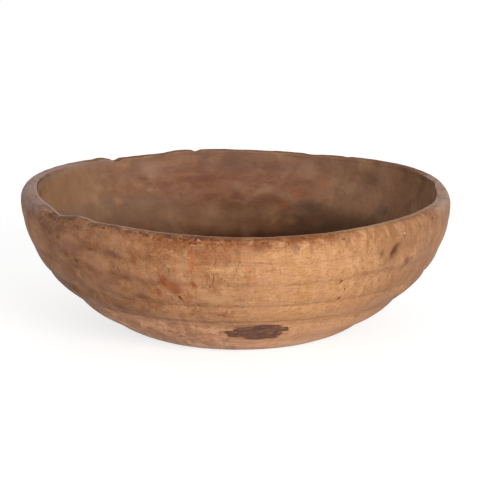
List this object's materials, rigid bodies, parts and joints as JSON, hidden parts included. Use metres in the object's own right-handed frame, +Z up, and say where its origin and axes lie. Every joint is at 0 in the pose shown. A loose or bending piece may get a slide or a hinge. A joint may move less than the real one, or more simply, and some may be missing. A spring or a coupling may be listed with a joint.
{
  "type": "wooden bowl",
  "caption": "Wide turned wooden bowl with a thick out-of-round wall, turned ring grooves, a rolled rim and a flat foot, for holding and mixing food.",
  "frame": {"origin": "centre of the flat foot's underside", "axes": "+Z up, out of the bowl's mouth; +X along the grain; -Y towards the side with the bark remnant, which the picture shows"},
  "size_m": [0.3473, 0.3386, 0.1154],
  "materials": {
    "aged_wood": "hand-worn, dry, satin at the rim",
    "bark": "rough, matte"
  },
  "bodies": {
    "root": {"bowl_body": "aged_wood", "bark_patch": "bark"}
  },
  "joints": []
}
